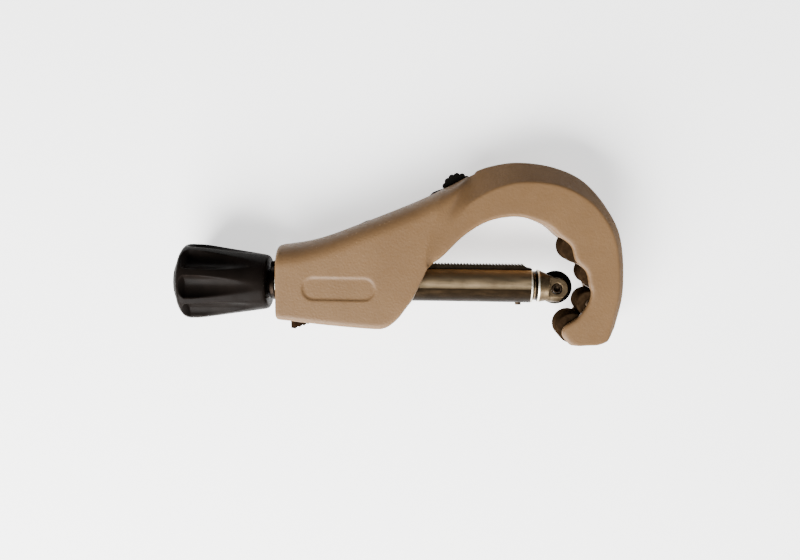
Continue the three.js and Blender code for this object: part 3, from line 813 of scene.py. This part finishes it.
def wheel_carrier(material):
    """Shank that slides in the tube, and a forked nose that is rounded about the wheel's axle."""
    bore, radius, rear_x, front_x = 4.3, 7.2, 72, NOSE_X - 0.6
    outside = [(x, radius) for x in (rear_x + 0.3, rear_x + 1, rear_x + 2, NOSE_X - 4, NOSE_X - 2, front_x)]
    shank = turned("carrier_shank", [
        (rear_x, bore), (rear_x, radius - 0.3), *outside, (front_x, bore), (rear_x, bore),
    ], 128)
    cut(shank, block("guide_way", 112, 127.5, -9, -5.9, -1.8, 1.8))
    nose = turned("carrier_nose", [
        (NOSE_X - 1.4, 0), (NOSE_X - 1.4, 7.25), (NOSE_X, 7.3), (NOSE_X, 7.9),
        (NOSE_X + 0.3, NOSE_RADIUS), (150, NOSE_RADIUS), (150, 0),
    ], 160)
    side = [(NOSE_X - 3, 12), (NOSE_X, 12), (NOSE_X, NOSE_RADIUS)]
    side += spline([(NOSE_X, NOSE_RADIUS), (NOSE_X + 2.5, 7), (NOSE_X + 5, 5.9), (139.4, 4.6)])
    cheek, heel = 5.3, 7.9
    side += arc(WHEEL.x, WHEEL.y, cheek, 84, -50) + arc(WHEEL.x, WHEEL.y, heel, -80, -126)
    side += spline([(135.66, -7.1), (134, -7.4), (NOSE_X, -NOSE_RADIUS - 0.2)])
    side += [(NOSE_X, -12), (NOSE_X - 3, -12)]
    combine(nose, [plate("side", side, -DEEP, DEEP)], "INTERSECT")
    cut(
        nose,
        block("flat_top", 136.6, 152, -12, 12, FLAT, 12),
        block("flat_low", 136.6, 152, -12, 12, -12, -FLAT),
        block("wheel_slot", NOSE_X + 0.9, 152, -12, 12, -WHEEL_SLOT_HALF, WHEEL_SLOT_HALF),
        rod_z("axle_hole", WHEEL.x, WHEEL.y, -12, 12, 2.7, 64),
    )
    skinned(nose, 0.22)
    relaxed(nose, 3)
    both = bmesh.new()
    both.from_mesh(nose.data)
    both.from_mesh(shank.data)
    both.to_mesh(nose.data)
    both.free()
    spare = shank.data
    bpy.data.objects.remove(shank)
    bpy.data.meshes.remove(spare)
    return finished(nose, "carrier", material, ["wheel_carrier"], 45)


def cutting_wheel(material):
    """Hub and a hollow-ground edge."""
    hub, rim, bore = 1.3, 8.3, 2.7
    half = [(hub, bore), (hub, 4.8), (1.15, 5.05), (0.7, 5.6), (0.45, 6.4), (0.16, 7.6), (0.02, rim)]
    profile = [(-z, r) for z, r in half] + [(z, r) for z, r in reversed(half)] + [(-hub, bore)]
    wheel = turned("wheel_ground", profile, 160, "Z", WHEEL)
    return finished(wheel, "wheel", material, ["cutting_wheel"], 20)


def wheel_axle(material):
    """Axle with a dimple in each end."""
    half, radius, edge, dimple = 6.4, 2.4, 0.3, 1.7
    end = [(half - 1.6, 0), (half - 1.4, 0.9), (half, dimple), (half, radius - edge), (half - edge, radius)]
    profile = [(-z, r) for z, r in end] + [(z, r) for z, r in reversed(end)]
    axle = turned("axle_turned", profile, 96, "Z", centre_of("wheel_axle"))
    return finished(axle, "carrier", material, ["wheel_axle"], 25)


# ---------------------------------------------------------------- knob
def knob_body(material):
    """Moulded body. Eight flutes are sunk into a turned outside and fade out towards its front."""
    outside = spline([
        (-47.4, 15.9), (-47.1, 17), (-45.7, 18.5), (-43.8, 19.02), (-41.5, 19.11), (-36, 18.7), (-22, 16.5),
        (-8, 14.3), (-5.2, 13.8), (-4.2, 13.4), (-3.65, 12.7), (-3.5, 11.6),
    ], 10)
    inside = [(-3.5, 6), (-2.9, 6), (-2.9, 4.3), (-38, 4.3), (-38, 11.6), (-47.4, 11.6)]
    flute_radius, flute_rear, softness = 6.6, -42.6, 3.2
    flute_axis, taper, rear_ramp = 21.6, 0.01, 1.4
    flutes, first = 8, math.radians(93)
    segments = flutes * 40
    rows = [(x, r, True) for x, r in outside] + [(x, r, False) for x, r in inside]
    vertices, faces = [], []
    for x, radius, carved in rows:
        centre = flute_axis - taper * (x - flute_rear) + rear_ramp * max(0.0, flute_rear - x)
        for i in range(segments):
            angle = TURN * i / segments
            away = (angle - first + math.pi / flutes) % (TURN / flutes) - math.pi / flutes
            reach = radius
            inner = flute_radius ** 2 - (centre * math.sin(away)) ** 2
            if carved and inner > 0:
                floor = centre * math.cos(away) - math.sqrt(inner)
                reach = -math.log(math.exp(-softness * radius) + math.exp(-softness * floor)) / softness
            vertices.append((x, reach * math.cos(angle), reach * math.sin(angle)))
    for j in range(len(rows)):
        p, q = j * segments, ((j + 1) % len(rows)) * segments
        faces += [(p + i, p + (i + 1) % segments, q + (i + 1) % segments, q + i) for i in range(segments)]
    knob = mesh_object("knob_moulded", vertices, faces)
    return finished(knob, "feed", material, ["knob"], 40)


def knob_cap(material):
    """Domed cap with a rim that reaches into the knob's rear end."""
    dome = [(-51.4, 0)] + spline([
        (-51.4, 0), (-51.25, 5.6), (-50.6, 9.2), (-49.7, 11.3), (-48.8, 12.4), (-47.9, 12.8),
    ], 8)
    profile = dome + [(-47.7, 12.75), (-47.7, 11.2), (-45.9, 11.2), (-45.9, 9), (-47.7, 9), (-47.7, 0)]
    cap = turned("cap_moulded", profile, 128)
    return finished(cap, "feed", material, ["knob_cap"], 40)


def paint_nodes(material, *nodes):
    """Gives CAD nodes that stay as they are their material."""
    for node in nodes:
        for place in bpy.data.objects[node].material_slots:
            place.material = material


# ---------------------------------------------------------------- build
add_camera()
add_floor()
add_light()

pin_steel = steel("pin_steel", (0.05, 0.034, 0.022), (0.02, 0.014, 0.009), 0.4, scale=900)
screw_steel = steel("screw_steel", (0.20, 0.16, 0.12), (0.09, 0.07, 0.05), 0.35, (1, 6, 6), 500)
wheel_steel = steel("wheel_steel", (0.012, 0.010, 0.009), (0.006, 0.005, 0.004), 0.4, scale=700)
spring_steel = steel("spring_steel", (0.28, 0.24, 0.19), (0.14, 0.11, 0.08), 0.3)
black_plastic = plastic("lever_plastic", (0.003, 0.0024, 0.0018), (0.006, 0.0048, 0.0036), 0.6, 0.06)
knob_plastic = plastic("knob_plastic", (0.0045, 0.0034, 0.0028), (0.009, 0.0066, 0.0054), 0.34, 0.018)
cap_plastic = plastic("cap_plastic", (0.005, 0.0038, 0.0032), (0.009, 0.0066, 0.0054), 0.45, 0.04)
tube_steel = steel(
    "tube_steel", (0.013, 0.008, 0.004), (0.007, 0.0045, 0.0024), 0.55, (0.25, 1, 1), 420, painted_light_bands=(
        # Painted reflection: the tube's upper half lighter, and a strip near its top lighter still; a darker
        # stripe runs along the middle of the upper half.
        ("Y", -0.3, 9.5, 1, (0.33, 0.245, 0.145), 0.6),
        ("Y", 3.4, 6.4, 1.2, (0.15, 0.115, 0.07), 0.35),
        ("Y", 7, 9.5, 0.8, (0.60, 0.45, 0.26), 0.6),
        # Painted highlights: near-white lines on the front chamfer and on the rear collar.
        ("X", 127.75, 128.5, 0.1, (0.95, 0.89, 0.74), 0.9),
        ("X", -5, 2.2, 0.1, (0.85, 0.80, 0.66), 0.9),
    ),
)
carrier_steel = steel(
    "carrier_steel", (0.19, 0.135, 0.076), (0.05, 0.034, 0.019), 0.42, scale=420, painted_light_bands=(
        # Painted shade: the shank near black where it shows in the recess between the tube's end and the
        # nose.
        ("X", 0, 130.95, 0.05, (0.003, 0.002, 0.001), 1),
        # Painted highlight: a near-white line on the nose's shoulder chamfer.
        ("X", 131.15, 131.9, 0.1, (0.95, 0.89, 0.74), 0.9),
    ),
)
roller_steel = steel(
    "roller_steel", (0.024, 0.014, 0.007), (0.011, 0.006, 0.003), 0.5, scale=600, rub=0, metallic=0, shine=0,
)
rack_steel = steel("rack_steel", (0.03, 0.022, 0.014), (0.018, 0.013, 0.008), 0.45, scale=500, rub=0.3)
plug_steel = steel("plug_steel", (0.010, 0.007, 0.005), (0.006, 0.004, 0.003), 0.45, scale=500, rub=0.3)
blade_steel = steel("blade_steel", (0.006, 0.003, 0.0014), (0.004, 0.002, 0.001), 0.5, scale=500, rub=0.3)

frame_casting(casting_paint())
rollers(roller_steel)
pins(pin_steel)
release_lever(black_plastic)
deburring_blade(blade_steel)
slide_tube(tube_steel)
gear_rack(rack_steel)
end_plug(plug_steel)
wheel_carrier(carrier_steel)
cutting_wheel(wheel_steel)
wheel_axle(pin_steel)
knob_body(knob_plastic)
knob_cap(cap_plastic)
paint_nodes(screw_steel, "feed_screw", "thrust_washer", "knob_washer", "knob_nut", "half_nut")
paint_nodes(pin_steel, "guide_pin", "half_nut_link_pin")
paint_nodes(spring_steel, "release_lever_spring")
